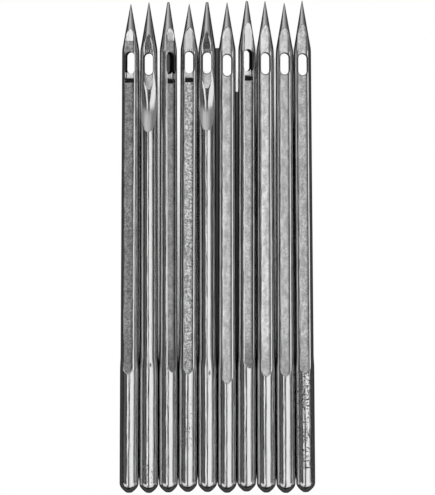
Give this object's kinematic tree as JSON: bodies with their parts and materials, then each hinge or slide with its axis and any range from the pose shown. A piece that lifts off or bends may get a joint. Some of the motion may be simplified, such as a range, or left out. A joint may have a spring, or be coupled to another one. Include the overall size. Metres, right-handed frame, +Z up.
{
  "type": "stitching awl needle set",
  "caption": "Loose straight steel needles for a stitching awl, each with a round shank, shoulder, long groove, eye, short groove, scarf and conical point, laid in a row.",
  "frame": {"origin": "middle of the row's footprint, on the surface that the needles lie on", "axes": "+Y along the needles towards their points, +X across the row to the right as seen from above, +Z up from the surface"},
  "size_m": [0.0242, 0.0608, 0.0024],
  "materials": {
    "polished_steel": "polished, with fine drawn lines along the needle and matt milled groove floors"
  },
  "bodies": {
    "root": {"needle_01": "polished_steel", "needle_02": "polished_steel", "needle_03": "polished_steel", "needle_04": "polished_steel", "needle_05": "polished_steel", "needle_06": "polished_steel", "needle_07": "polished_steel", "needle_08": "polished_steel", "needle_09": "polished_steel", "needle_10": "polished_steel"}
  },
  "joints": []
}
